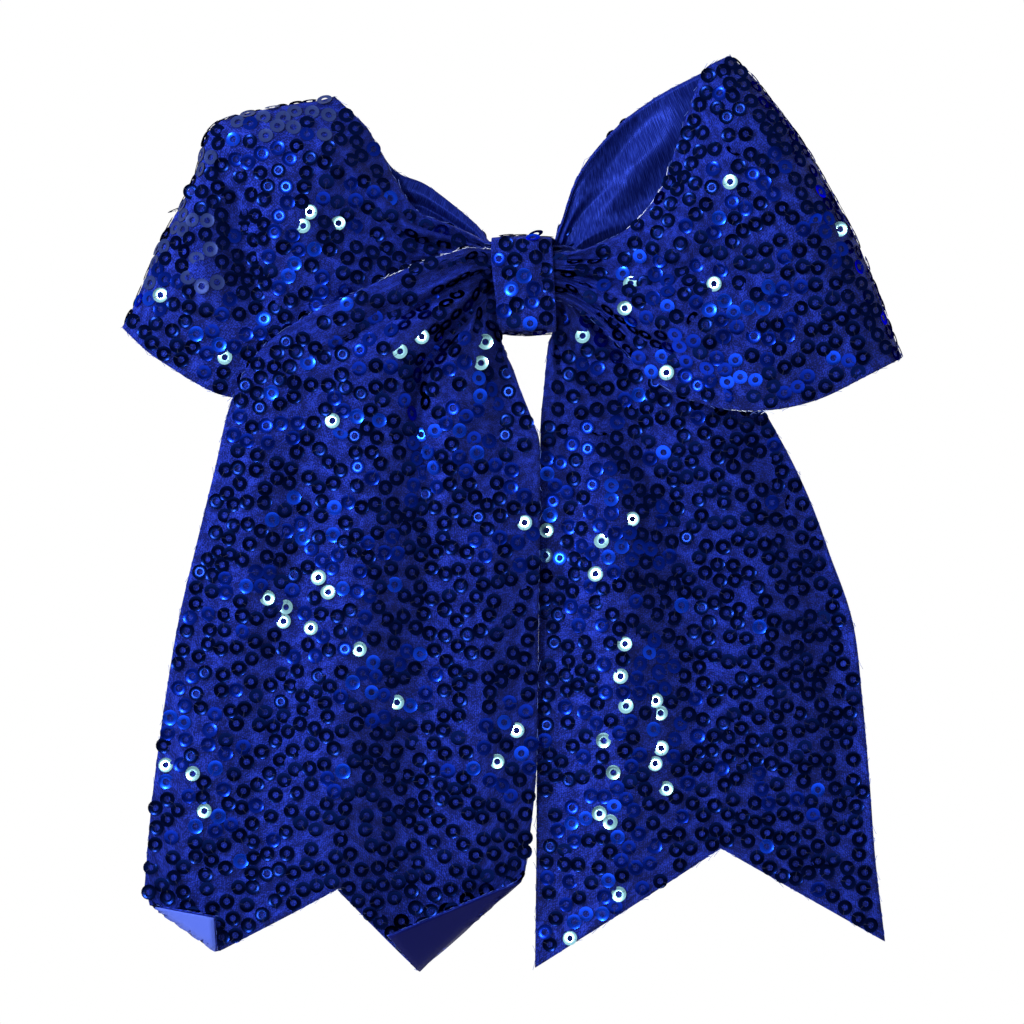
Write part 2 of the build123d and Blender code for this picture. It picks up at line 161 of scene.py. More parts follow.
def fold_grid(pivot, middle, outer, front, back, columns, count, side):
    """The turn at a loop's outer end: half an ellipse round the pivot line, at each place across."""
    x0, z0, x1, z1 = pivot
    away = side * np.array([-(z1 - z0), 0, x1 - x0]) / math.hypot(x1 - x0, z1 - z0)
    reach = np.pad(np.interp(columns, *zip(*outer)), 4, mode="edge")
    reach = np.convolve(reach, np.ones(9) / 9, "valid")  # rounds the corners of the outer line
    near, far = across(front, columns), across(back, columns)
    grid = np.zeros((count, len(columns), 3))
    for r, angle in enumerate(np.linspace(-math.pi / 2, math.pi / 2, count + 2)[1:-1]):
        depths = np.full(len(columns), middle)
        base = np.stack([x0 + (x1 - x0) * columns, depths, z0 + (z1 - z0) * columns], 1)
        deep = near if angle < 0 else far
        grid[r] = base + np.outer(reach * math.cos(angle), away)
        grid[r, :, 1] += deep * math.sin(angle)
    return grid


def soften(grid, rounds):
    """Relax the rows of a grid along the ribbon, with its first and last rows held."""
    for _ in range(rounds):
        grid[1:-1] += 0.25 * (grid[:-2] + grid[2:] - 2 * grid[1:-1])
    return grid


def normals(grid):
    """Unit normals that point to the sequin side of the ribbon."""
    along, over = np.gradient(grid, axis=0), np.gradient(grid, axis=1)
    n = np.cross(over, along)
    return n / (norm(n, axis=2, keepdims=True) + 1e-12)


def evened(values, width, axis):
    """Running means along one axis, with the ends held."""
    half = width // 2
    pad = [(half, half) if k == axis else (0, 0) for k in range(values.ndim)]
    sums = np.cumsum(np.pad(values, pad, mode="edge"), axis=axis)
    sums = np.concatenate([np.zeros_like(np.take(sums, [0], axis=axis)), sums], axis=axis)
    count = values.shape[axis]
    top = np.take(sums, range(width, width + count), axis=axis)
    return (top - np.take(sums, range(count), axis=axis)) / width


def thickness_ways(grid):
    """The ways a sheet's thickness is laid: its normals, evened out over the tight pleats near the knot."""
    n = normals(grid)
    even = evened(evened(evened(n, 15, 1), 15, 1), 5, 0)
    distance = norm(grid[..., [0, 2]], axis=2)
    near = np.clip((PLEATS_REACH - distance) / PLEATS_FADE, 0, 1)[..., None]
    way = n * (1 - near) + even * near
    return way / (norm(way, axis=2, keepdims=True) + 1e-12)


def outward(grid):
    """Order the columns so that the sequin side is at the front where the ribbon starts."""
    start = normals(grid)[: len(grid) // 3, :, 1]
    return grid if start.mean() < 0 else grid[:, ::-1].copy()


ALL_ROWS = (0.0, 1.0)
FRONT_ROWS = (0.0, 0.5)  # the half of a loop that is seen from the front
BACK_ROWS = (0.6, 1.0)


def line_distance(points, path):
    """Distance of points in the front view from a path, and how far along it they lie, from 0 to 1."""
    path = np.array(path, float)
    lengths = norm(np.diff(path, axis=0), axis=1)
    total, done = lengths.sum(), 0.0
    best, place = np.full(points.shape[:-1], 1e9), np.zeros(points.shape[:-1])
    for a, b, length in zip(path[:-1], path[1:], lengths):
        t = np.clip(((points - a) @ (b - a)) / length**2, 0, 1)
        d = norm(points - (a + t[..., None] * (b - a)), axis=-1)
        closer = d < best
        best = np.where(closer, d, best)
        place = np.where(closer, (done + t * length) / total, place)
        done += length
    return best, place


def crease(grid, rows, path, height, width, start=1.0):
    """Raise or sink the cloth along a path in the front view: it fades to its far end, and start is its
    strength at its first point."""
    distance, place = line_distance(grid[..., [0, 2]], path)
    fade = (start + (1 - start) * np.minimum(place / 0.3, 1)) * np.clip((1 - place) / 0.45, 0, 1) ** 0.8
    share = np.linspace(0, 1, len(grid))[:, None]
    window = ((share >= rows[0]) & (share <= rows[1])).astype(float)
    grid[..., 1] += normals(grid)[..., 1] * height * np.exp(-((distance / width) ** 2)) * fade * window
    return grid


def creases(grid, rows, *lines):
    """Several creases over the same rows: each is a path, a height, a width and perhaps a start."""
    for line in lines:
        grid = crease(grid, rows, *line)
    return grid


def gathers(grid, pleats, height, reach, seed):
    """Pleats that run out of the knot and die away over the given reach."""
    rng = np.random.default_rng(seed)
    s = np.linspace(0, 1, grid.shape[1])
    wander = s + 0.035 * np.sin(4 * math.pi * s + rng.uniform(0, 6.28)) + 0.014 * np.sin(11 * math.pi * s)
    strength = 0.75 + 0.45 * np.sin(TURN * (2.3 * s + rng.uniform()))
    wave = np.sin(TURN * pleats * wander + rng.uniform(0, 6.28)) * strength
    distance = norm(grid[..., [0, 2]], axis=2)
    fade = np.clip((reach - distance) / (reach - 8), 0, 1) ** 1.3 * np.clip(distance / 12, 0.75, 1)
    grid[..., 1] += normals(grid)[..., 1] * height * wave[None, :] * fade
    return grid


def curl(grid, a, b, radius, turn):
    """Roll the cloth that lies to the right of the line from a to b forward about that line, by an angle."""
    a, b = np.array(a, float), np.array(b, float)
    way = unit(b - a)
    side = np.array([way[1], -way[0]])
    flat = grid[..., [0, 2]]
    past = np.maximum((flat - a) @ side, 0)
    angle = np.minimum(past / radius, turn)
    straight = past - angle * radius
    out = radius * np.sin(angle) + straight * np.cos(angle)
    grid[..., [0, 2]] += (out - past)[..., None] * side
    grid[..., 1] -= radius * (1 - np.cos(angle)) + straight * np.sin(angle)
    return grid


def squeeze(grid):
    """Draw the cloth in where the wrap goes round it, and let it out again over a few millimetres."""
    y, z = grid[..., 1] - KNOT_MIDDLE_Y, grid[..., 2]
    deep, high = KNOT_HALF_DEPTH - WRAP_ROOM, KNOT_HALF_HEIGHT - WRAP_ROOM
    over = ((abs(y) / deep) ** KNOT_SQUARENESS + (abs(z) / high) ** KNOT_SQUARENESS) ** (1 / KNOT_SQUARENESS)
    outside = np.maximum(KNOT_LEFT - grid[..., 0], grid[..., 0] - KNOT_RIGHT)
    inside = np.clip(1 - outside / LET_OUT, 0, 1) * np.clip((KNOT_HALF_HEIGHT + 1 - abs(z)) / 1.5, 0, 1)
    share = 1 + (1 / np.maximum(over, 1) - 1) * inside
    grid[..., 1], grid[..., 2] = KNOT_MIDDLE_Y + y * share, z * share
    return grid


def crumple(grid, size, scale, seed, rows):
    """Small soft unevenness of the cloth, from a few waves in random directions."""
    rng = np.random.default_rng(seed)
    total = np.zeros(grid.shape[:2])
    for _ in range(9):
        way = unit(rng.normal(size=3))
        total += np.sin(grid @ way * (TURN / (scale * rng.uniform(0.6, 1.7))) + rng.uniform(0, 6.28))
    share = np.linspace(0, 1, len(grid))[:, None]
    inside = np.clip((share - rows[0]) / 0.05, 0, 1) * np.clip((rows[1] - share) / 0.05, 0, 1)
    grid[..., 1] += normals(grid)[..., 1] * size * total * inside / 3
    return grid


# -------- the ribbon's sections
# Keys: x, z of the upper or left edge; x, z of the lower or right edge; five depths from one to the other.

LOOP_COLUMNS = np.linspace(0, 1, 77)

LEFT_LOOP_FRONT = [
    (-5, 8.2, -5, -8.2, 11.3, 11.6, 11.7, 11.6, 11.3),
    (-9.5, 9.4, -9.5, -8.8, 11.5, 12, 12, 11.8, 11.5),
    (-19, 13.3, -24, -15, 12, 14.5, 15.5, 14.8, 13.5),
    (-25.5, 16.3, -38, -20.5, 12.2, 16.5, 17.5, 16.6, 15.2),
    (-30, 23, -52, -24, 11.6, 17.5, 18.8, 17.6, 16),
    (-33.2, 29, -67, -24.5, 11.8, 18.6, 19.6, 18.4, 16.6),
    (-36.2, 34.5, -83.2, -15.5, 13, 20.6, 20.6, 19.6, 17.2),
]
LEFT_LOOP_TURN = ((0, 9.2), (0.06, 13), (0.145, 17.5), (0.29, 24.5), (0.36, 26), (0.43, 22.5),
                  (0.52, 19.5), (0.726, 16), (0.9, 11.2), (1, 9))
LEFT_LOOP_BACK = [
    (-36.2, 34.5, -83.2, -15.5, -5.5, -3.2, -2.2, -2.6, -4),
    (-30.5, 25.5, -62, -24, -5.6, -4.4, -3.8, -4.2, -5),
    (-23, 22, -38, -20, -5.8, -5.2, -4.8, -5.2, -5.8),
    (-13, 13.8, -18, -13, -6.5, -6.2, -6, -6.2, -6.5),
    (-9.5, 10, -9.5, -8.8, -6.9, -6.7, -6.6, -6.7, -6.9),
    (-5, 8.2, -5, -8.2, -6.9, -6.7, -6.6, -6.7, -6.9),
]
RIGHT_LOOP_FRONT = [
    (2.5, 7.4, 2.5, -3.2, 15, 15.3, 15.4, 15.3, 15),
    (5.5, 7.2, 5.8, -3.6, 15.2, 15.8, 16, 15.8, 15.4),
    (10, 7.4, 12, -7, 15.6, 16.8, 17.2, 16.8, 15.8),
    (15, 9.2, 19, -13.8, 16, 19, 19.8, 18.8, 16.8),
    (21, 12.4, 27, -21.5, 16.8, 21.4, 22.4, 21, 18.2),
    (27.4, 20, 39, -26.8, 18, 23.6, 25, 23.4, 20),
    (31, 29.5, 51, -27.6, 19.2, 24.8, 26.4, 24.6, 21),
    (34, 38.5, 62, -25.2, 20, 25.4, 27, 25.2, 21.6),
    (37, 46.8, 71.4, -20.6, 20.8, 25.6, 26.8, 25.2, 22),
]
RIGHT_LOOP_TURN = ((0, 6.2), (0.05, 8.8), (0.32, 12.6), (0.62, 13.4), (0.84, 11.8), (1, 10.2))
RIGHT_LOOP_BACK = [
    (37, 46.8, 71.4, -20.6, -6.4, -3.2, -2, -2.8, -4.8),
    (26.5, 41.2, 50, -24, -5.8, -4.4, -3.8, -4.2, -5.2),
    (17.2, 33.8, 28, -19, -5.8, -5.2, -4.8, -5.2, -5.8),
    (9.4, 23.5, 13.5, -13, -6.6, -6.2, -6, -6.2, -6.6),
    (5, 11, 5.5, -8.8, -6.9, -6.7, -6.6, -6.7, -6.9),
    (2.5, 8.2, 2.5, -8.2, -6.9, -6.7, -6.6, -6.7, -6.9),
]
LEFT_TAIL = [
    (-5, 8.2, -5, -8.2, 15, 15.4, 15.4, 15.3, 15),
    (-9.5, 8.8, -8.2, -9, 15.3, 16, 16, 15.8, 15.2),
    (-16, 7.3, -7.2, -11.5, 17.4, 18.6, 18.8, 17.8, 16),
    (-25, 4.2, -6, -15, 19.4, 21, 21, 19.6, 16.8),
    (-37, -1.2, -4, -20, 20.8, 22.2, 21.6, 19.8, 17),
    (-50, -7.6, -2, -25, 21.6, 23.2, 22.6, 20.8, 17.8),
    (-59.5, -14.8, 0, -30, 21.8, 23.4, 22.8, 21, 18.4),
    (-65.2, -25, 1.3, -34, 21.6, 22.8, 22.2, 20.6, 18.8),
    (-69, -40, 1.5, -42, 20.4, 22.6, 22, 19.8, 17.6),
    (-73.2, -57, 1.4, -57, 19.4, 22.4, 22.2, 19.2, 16.4),
    (-77, -73, 1.2, -72, 18.6, 22, 22.2, 18.8, 15.8),
    (-80.2, -92, 1, -90, 18.4, 21.4, 22, 18.6, 15.6),
    (-82.8, -112, 0.6, -108, 18.6, 20.6, 21.6, 18.6, 15.6),
    (-84.5, -132, -1.8, -129, 19, 20.4, 21.2, 18.8, 16.2),
]
RIGHT_TAIL = [
    (2.5, -8.2, 2.5, 8.2, 11.3, 11.5, 11.6, 11.5, 11.3),
    (4.6, -9.6, 8.5, 8, 11.4, 11.7, 11.8, 11.7, 11.4),
    (3.4, -12.5, 17, 2, 11.8, 12.2, 12.4, 12.2, 11.9),
    (2.8, -17.5, 27, -5, 12.4, 12.8, 13, 12.8, 12.4),
    (2.3, -23, 37, -12, 12.9, 13.4, 13.6, 13.4, 12.9),
    (1.7, -29, 46, -21, 13.2, 13.9, 14, 13.8, 13.2),
    (1.5, -37, 53.6, -33, 13.4, 14.4, 14.2, 13.8, 13.2),
    (1.4, -48, 60, -46, 13.4, 15.2, 14, 13, 12.2),
    (1.3, -60, 65, -59, 12.8, 16.4, 14.2, 11.6, 10.2),
    (1.2, -75, 70, -74, 12.4, 16.6, 14.2, 11.4, 9.6),
    (1, -92, 72.2, -91, 12.2, 16.8, 14.4, 11.4, 9.4),
    (0.8, -108, 73.6, -107, 12.4, 16.8, 14.4, 11.4, 9.4),
    (0.7, -124, 74.8, -124, 12.8, 16.4, 14.4, 11.8, 9.8),
    (0.4, -149, 77, -143.5, 13.4, 15.8, 14.4, 12.4, 10.6),
]
# The cut at each tail's foot: share across, and how far the cut is below the straight line of its last key
LEFT_CUT = ((0.0, 0.0), (0.0786, -18.4), (0.508, -1.0), (0.84, -30.0), (1.0, 0.0))
RIGHT_CUT = ((0.0, 0.0), (0.53, 23.1), (1.0, 0.0))
# The left tail's corners are folded forward along these lines
LEFT_CURLS = (((-85.3, -131.6), (-67.5, -144.0), 1.0, 2.35), ((-24.3, -146.6), (-1.6, -126.6), 1.2, 2.45))


def loop_grid(front, turn, back, back_rows, middle, near, far, side):
    """A loop: out from the knot along its front, round its outer fold, and home along its back."""
    parts = [
        panel_grid(front, LOOP_COLUMNS, 74),
        fold_grid(front[-1][:4], middle, turn, near, far, LOOP_COLUMNS, 30, side),
        panel_grid(back, LOOP_COLUMNS, back_rows, back=True),
    ]
    return outward(soften(np.concatenate(parts), 5))


def left_loop_grid():
    grid = loop_grid(
        LEFT_LOOP_FRONT, LEFT_LOOP_TURN, LEFT_LOOP_BACK, 60, -10.5, (2.5, 10.1, 10.1, 9.1, 6.7),
        (5, 7.3, 8.3, 7.9, 6.5), side=-1,
    )
    grid = gathers(grid, 6, 1.5, 62, seed=2)
    grid = creases(
        grid, FRONT_ROWS,
        ([(-9, 5), (-24, 14), (-46, 30), (-66, 36)], 2.6, 5),
        ([(-9, 2), (-26, 7), (-44, 16), (-58, 20)], -3, 4),
        ([(-64, 26), (-63, 8), (-58, -10)], -4.2, 4.2, 0.3),
    )
    grid = creases(grid, (0, 0.6), ([(-72, 26), (-74, 10), (-70, -8)], 2.2, 3.8, 0.4))
    grid = creases(grid, FRONT_ROWS, ([(-9, 6.5), (-20, 11), (-30, 18)], -1.2, 2))
    return squeeze(crumple(grid, 0.4, 24, seed=3, rows=(0.06, 0.97)))


def right_loop_grid():
    grid = loop_grid(
        RIGHT_LOOP_FRONT, RIGHT_LOOP_TURN, RIGHT_LOOP_BACK, 64, -13.5, (7.3, 12.1, 13.3, 11.7, 8.5),
        (7.1, 10.3, 11.5, 10.7, 8.7), side=1,
    )
    grid = gathers(grid, 5, 1.5, 56, seed=4)
    grid = creases(
        grid, FRONT_ROWS,
        ([(9, -1), (22, -6), (40, -16), (56, -22)], 2.2, 4.5),
        ([(9, 2), (24, 4), (44, 2), (60, -4)], -3.2, 4.2),
        ([(10, -5), (24, -13), (44, -23)], -3, 3.2),
        ([(9, 5), (22, 10), (36, 22), (46, 34)], 2, 4.5),
        ([(56, 22), (62, 4), (66, -12)], 1.4, 7, 0.3),
    )
    grid = creases(
        grid, BACK_ROWS,
        ([(10, 17), (20, 31), (30, 43)], 1.4, 3, 0.4),
        ([(10, 9), (22, 24), (34, 38)], -1.4, 3, 0.4),
    )
    return squeeze(crumple(grid, 0.4, 24, seed=5, rows=(0.06, 0.97)))


def tail_grid(keys, cut, columns, count):
    """A tail from the knot to its swallow-tailed foot. One column is moved to each corner of its cut, and the
    cut's shape comes in over the lower rows."""
    columns = np.linspace(0, 1, columns)
    for place, _ in cut:
        columns[np.argmin(abs(columns - place))] = place
    grid = panel_grid(keys, columns, count)
    share = np.linspace(0, 1, count)[:, None] ** 4
    at, drop = zip(*cut)
    grid[..., 2] += share * np.interp(columns, at, drop)[None, :]
    return outward(grid)


def left_tail_grid():
    grid = tail_grid(LEFT_TAIL, LEFT_CUT, 81, 160)
    grid = gathers(grid, 5, 1.4, 52, seed=6)
    grid = creases(
        grid, ALL_ROWS,
        ([(-9, 5), (-20, 3), (-36, -4), (-52, -16)], 1.8, 3.4),
        ([(-9, 1.5), (-13.3, 0.2), (-22.6, -3.7), (-31.3, -6.8), (-50, -18)], -2.9, 2.1),
        ([(-9, 0.5), (-17, -4.5), (-26, -9.5), (-40, -20)], 2.2, 2.8),
        ([(-8.7, -0.7), (-14.4, -6.3), (-19.6, -12), (-24.2, -18.7), (-25.3, -27), (-23, -46)], -3.8, 2),
        ([(-8, -5), (-13, -14), (-17, -30), (-20, -56)], 2.2, 3),
        ([(-8, -7), (-8, -15), (-7, -28), (-8, -46)], -1.6, 2.4),
        ([(-58, -20), (-60, -46), (-64, -90)], 1.8, 6, 0.3),
        ([(-46, -24), (-52, -60), (-58, -100), (-60, -150)], -2.6, 7, 0.3),
        ([(-34, -30), (-38, -64), (-42, -100), (-44, -150)], 2.4, 7, 0.3),
        ([(-22, -30), (-24, -64), (-27, -100), (-28, -160)], -2.4, 6, 0.3),
        ([(-8, -40), (-10, -80), (-12, -140)], 1.6, 5, 0.3),
        ([(-72, -90), (-75, -112), (-77, -140)], 1.6, 6, 0.2),
    )
    grid = squeeze(crumple(grid, 0.45, 30, seed=11, rows=(0.05, 1.2)))
    for a, b, radius, turn in LEFT_CURLS:
        grid = curl(grid, a, b, radius, turn)
    return grid


def right_tail_grid():
    grid = tail_grid(RIGHT_TAIL, RIGHT_CUT, 77, 150)
    grid = gathers(grid, 5, 1.2, 44, seed=8)
    grid = creases(
        grid, ALL_ROWS,
        ([(6, -12), (14, -30), (18, -60), (19, -100), (19, -140)], 2.6, 6.5, 0.3),
        ([(12, -14), (30, -50), (34, -90), (38, -128)], -2.6, 6.5, 0.3),
        ([(30, -24), (48, -50), (54, -90), (58, -128)], 2, 6, 0.3),
        ([(50, -32), (64, -60), (68, -96), (70, -134)], -1.6, 5, 0.3),
    )
    return squeeze(crumple(grid, 0.45, 30, seed=13, rows=(0.05, 1.2)))


def knot_grid():
    """The wrap that goes round the gathered ribbon: rows go round it, and columns run along it."""
    columns = np.linspace(0, 1, 25)
    rows = 150
    grid = np.zeros((rows, len(columns), 3))
    for r, angle in enumerate(np.linspace(math.radians(91), math.radians(449), rows)):
        c, s = math.cos(angle), math.sin(angle)
        squared = (abs(c) ** KNOT_SQUARENESS + abs(s) ** KNOT_SQUARENESS) ** (-1 / KNOT_SQUARENESS)
        front = max(-s, 0)
        left = KNOT_LEFT + 0.9 * front * (0.5 - 0.5 * c) + 0.5 * math.sin(2.1 * angle)
        right = KNOT_RIGHT + 0.5 * math.sin(1.7 * angle + 1) - 0.4 * front
        grid[r, :, 0] = left + (right - left) * columns
        barrel = 0.4 * np.sin(math.pi * columns)
        proud = 0.1 if s < 0 else -0.2  # clear of the thread in front and of the felt behind
        grid[r, :, 1] = KNOT_MIDDLE_Y + (KNOT_HALF_DEPTH + barrel + proud) * squared * s
        grid[r, :, 2] = (KNOT_HALF_HEIGHT + barrel) * squared * c
    if (normals(grid)[:, :, 1] * (grid[..., 1] - KNOT_MIDDLE_Y)).mean() <= 0:
        grid = grid[:, ::-1].copy()
    return creases(
        grid, ALL_ROWS,
        ([(1, 9), (-1, 3), (-4, -1), (-8, -3)], 0.8, 1.6),
        ([(-3.4, -10), (-4, -5), (-5, -2), (-7, 1)], -0.4, 1.8),
        ([(3, 9), (2.5, 0), (3, -9)], -0.4, 1),
    )


# -------- meshes

def link(data, name):
    """A new object in the scene, from a mesh, a lamp or a camera."""
    made = bpy.data.objects.new(name, data)
    bpy.context.scene.collection.objects.link(made)
    return made


def smooth_mesh(name, points, faces, *materials):
    """A smoothly shaded piece, from points in millimetres."""
    mesh = bpy.data.meshes.new(name)
    mesh.from_pydata((np.asarray(points) * MM).tolist(), [], faces)
    mesh.polygons.foreach_set("use_smooth", [True] * len(mesh.polygons))
    for material in materials:
        mesh.materials.append(material)
    mesh.update()
    return link(mesh, name)


def lay_cloth(mesh, grid):
    """Give both sides of a sheet its cloth coordinates, in millimetres, as UVs."""
    over = norm(np.diff(grid, axis=1), axis=2).mean(0)
    along = norm(np.diff(grid, axis=0), axis=2).mean(1)
    u, v = np.concatenate([[0], np.cumsum(over)]), np.concatenate([[0], np.cumsum(along)])
    flat = np.stack(np.meshgrid(u, v), -1).reshape(-1, 2)
    flat = np.concatenate([flat, flat])
    loops = np.zeros(len(mesh.loops), int)
    mesh.loops.foreach_get("vertex_index", loops)
    mesh.uv_layers.new(name="cloth").data.foreach_set("uv", flat[loops].astype(np.float32).ravel())


def sheet_mesh(name, grid, near, far, material, gathered):
    """A closed sheet between two depths below the grid: its near side's faces, its far side's, its rim's."""
    rows, cols = grid.shape[:2]
    n = thickness_ways(grid) if gathered else normals(grid)
    layers = np.concatenate([(grid - n * near).reshape(-1, 3), (grid - n * far).reshape(-1, 3)])
    index = np.arange(rows * cols).reshape(rows, cols)
    quads = np.stack([index[:-1, :-1], index[1:, :-1], index[1:, 1:], index[:-1, 1:]], -1).reshape(-1, 4)
    under = quads[:, ::-1] + rows * cols
    rim = np.concatenate([index[0, :-1], index[:-1, -1], index[-1, :0:-1], index[:0:-1, 0]])
    after = np.roll(rim, -1)
    edge = np.stack([rim, after, after + rows * cols, rim + rows * cols], -1)
    faces = np.concatenate([quads[:, ::-1], under[:, ::-1], edge[:, ::-1]])
    piece = smooth_mesh(name, layers, faces.tolist(), material)
    lay_cloth(piece.data, grid)
    return piece


def tube_mesh(name, paths, radius, sides, material):
    """One mesh of round threads or wires that follow the given paths."""
    points, faces = [], []
    for path in paths:
        path = np.array(path, float)
        ways = np.gradient(path, axis=0)
        ways /= norm(ways, axis=1, keepdims=True)
        side = np.cross(ways[0], (0.31, 0.52, 0.79))
        base = len(points)
        for p, way in zip(path, ways):
            side = unit(side - way * np.dot(side, way))
            other = np.cross(way, side)
            for k in range(sides):
                angle = TURN * k / sides
                points.append(p + radius * (math.cos(angle) * side + math.sin(angle) * other))
        for r in range(len(path) - 1):
            for k in range(sides):
                a, b = base + r * sides, base + (r + 1) * sides
                after = (k + 1) % sides
                faces.append((a + k, a + after, b + after, b + k))
        faces.append(tuple(base + k for k in reversed(range(sides))))
        faces.append(tuple(len(points) - sides + k for k in range(sides)))
    return smooth_mesh(name, points, faces, material)


def frays(edges, spacing, seed, spots, only_spots):
    """Short loose threads along cut edges: spots, (x, z, radius), have them closer together."""
    rng = random.Random(seed)
    paths = []
    for edge, inner in edges:
        travelled, due = 0.0, rng.uniform(0, spacing)
        for i in range(1, len(edge) - 1):
            step = edge[i + 1] - edge[i]
            travelled += norm(step)
            if travelled < due or KNOT_LEFT < edge[i][0] < KNOT_RIGHT and abs(edge[i][2]) < KNOT_HIDES:
                continue
            near = any(math.hypot(edge[i][0] - x, edge[i][2] - z) < radius for x, z, radius in spots)
            due = travelled + rng.uniform(0.3, 1.7) * spacing * (0.35 if near else 1)
            if only_spots and not near:
                continue
            way = step / (norm(step) + 1e-9) * rng.choice((-1, 1))
            out = edge[i] - inner[i]
            out /= norm(out) + 1e-9
            reach = rng.uniform(0.8, 2.6)
            sag, lift = rng.uniform(-0.5, 0.5), rng.uniform(-0.6, 0.1)
            paths.append([
                edge[i] + reach * t * (way * 0.8 + out * (0.12 + 0.5 * sag * t))
                + (0, lift * t * (1 - t) - 0.1, 0)
                for t in np.linspace(0, 1, 5)
            ])
    return paths


class Surface:
    """A grid that can be read between its points, with u across and v along, in grid steps."""

    def __init__(self, grid):
        self.grid, self.normal = grid, normals(grid)
        self.rows, self.cols = grid.shape[:2]
        self.over = norm(np.gradient(grid, axis=1), axis=2)
        self.along = norm(np.gradient(grid, axis=0), axis=2)
        self.area = self.over * self.along

    def steps(self, u, v):
        """How long a grid step is across and along, near a place that may lie just off the grid."""
        u, v = min(max(u, 0), self.cols - 1), min(max(v, 0), self.rows - 1)
        return max(self.read(self.over, u, v), 0.1), max(self.read(self.along, u, v), 0.1)

    def read(self, array, u, v):
        i, j = min(int(v), self.rows - 2), min(int(u), self.cols - 2)
        a, b = v - i, u - j
        top = array[i, j] * (1 - b) + array[i, j + 1] * b
        return top * (1 - a) + (array[i + 1, j] * (1 - b) + array[i + 1, j + 1] * b) * a


class Strewing:
    """Places for sequins, found one at a time, none nearer to another than SEQUIN_NEAREST."""

    def __init__(self, grid, skip):
        self.surface, self.skip = Surface(grid), skip
        self.cells, self.found = {}, []

    def free(self, u, v):
        """The point at a place and its cell, or None where no sequin can lie."""
        surface = self.surface
        if not (0 <= u <= surface.cols - 1 and 0 <= v <= surface.rows - 1):
            return None
        to_side = min(u, surface.cols - 1 - u) * surface.read(surface.over, u, v)
        to_foot = (surface.rows - 1 - v) * surface.read(surface.along, u, v)
        p = surface.read(surface.grid, u, v)
        if min(to_side, to_foot) < SEQUIN_MARGIN or self.skip(p):
            return None
        cell = tuple((p // SEQUIN_NEAREST).astype(int))
        for dx, dy, dz in itertools.product((-1, 0, 1), repeat=3):
            for q in self.cells.get((cell[0] + dx, cell[1] + dy, cell[2] + dz), ()):
                if np.dot(q - p, q - p) < SEQUIN_NEAREST**2:
                    return None
        return p, cell

    def keep(self, u, v, p, cell):
        n = self.surface.read(self.surface.normal, u, v)
        self.cells.setdefault(cell, []).append(p)
        self.found.append((p, unit(n)))

    def chain(self, u, v, rng):
        """Keep one near-touching place after another along a meandering line, while there is room."""
        heading = rng.uniform(0, TURN)
        for _ in range(rng.randint(*CHAIN_LENGTHS)):
            for _ in range(CHAIN_TRIES):
                turn = heading + rng.gauss(0, 0.75)
                step = SEQUIN_STEP * rng.uniform(0.92, 1.12)
                over, along = self.surface.steps(u, v)
                nu, nv = u + step * math.cos(turn) / over, v + step * math.sin(turn) / along
                spot = self.free(nu, nv)
                if spot is not None:
                    break
            else:
                return
            u, v, heading = nu, nv, turn
            self.keep(u, v, *spot)


def scatter(grid, skip, seed):
    """Places for sequins, with their normals: short chains that start anywhere on the cloth."""
    rng = random.Random(seed)
    strewing = Strewing(grid, skip)
    cumulative = np.cumsum(strewing.surface.area.ravel())
    wanted, misses = int(cumulative[-1] / SEQUIN_AREA), 0
    while len(strewing.found) < wanted and misses < MOST_MISSES:
        pick = int(np.searchsorted(cumulative, rng.random() * cumulative[-1]))
        v, u = divmod(pick, strewing.surface.cols)
        u, v = u + rng.random() - 0.5, v + rng.random() - 0.5
        spot = strewing.free(u, v)
        if spot is None:
            misses += 1
        else:
            strewing.keep(u, v, *spot)
            strewing.chain(u, v, rng)
    return strewing.found


def sequin_template():
    """One cupped ring, and the thread that holds it down, as vertices, faces and their slots."""
    points, faces = [], []
    for radius, height in ((SEQUIN_HOLE, 0.02), (SEQUIN_FLAT, 0), (SEQUIN_RIM, SEQUIN_CUP)):
        for k in range(SEQUIN_SIDES):
            angle = TURN * k / SEQUIN_SIDES
            points.append((radius * math.cos(angle), radius * math.sin(angle), height))
    for ring in range(2):
        for k in range(SEQUIN_SIDES):
            after = (k + 1) % SEQUIN_SIDES
            a, b = ring * SEQUIN_SIDES, (ring + 1) * SEQUIN_SIDES
            faces.append((a + k, b + k, b + after, a + after))
    start = len(points)
    for x, height in ((0.2, -0.3), (0.4, 0.08), (1.6, 0.14), (1.8, -0.3)):
        points += [(x, -0.03, height), (x, 0.03, height)]
    for k in range(3):
        a = start + 2 * k
        faces.append((a, a + 2, a + 3, a + 1))
    return np.array(points), np.array(faces), len(points), len(faces) - 3


def aim(normal, rng, spread_degrees):
    """The normal tipped by a random few degrees."""
    tilt = np.array([rng.gauss(0, 1), rng.gauss(0, 1), rng.gauss(0, 1)]) * math.radians(spread_degrees)
    return unit(normal + tilt - normal * np.dot(tilt, normal))


def nearness(p, spots):
    """How near a place is to any spot, (x, z, radius), from 0 to 1."""
    return max((math.exp(-(((p[0] - x) ** 2 + (p[2] - z) ** 2) / r**2)) for x, z, r in spots), default=0.0)


def nearest_to(places, spots):
    """The numbers of the places at the front that are nearest to the spots."""
    front = [k for k, (_, n) in enumerate(places) if n[1] < AT_FRONT]
    return {min(front, key=lambda k: math.hypot(places[k][0][0] - x, places[k][0][2] - z)) for x, z in spots}


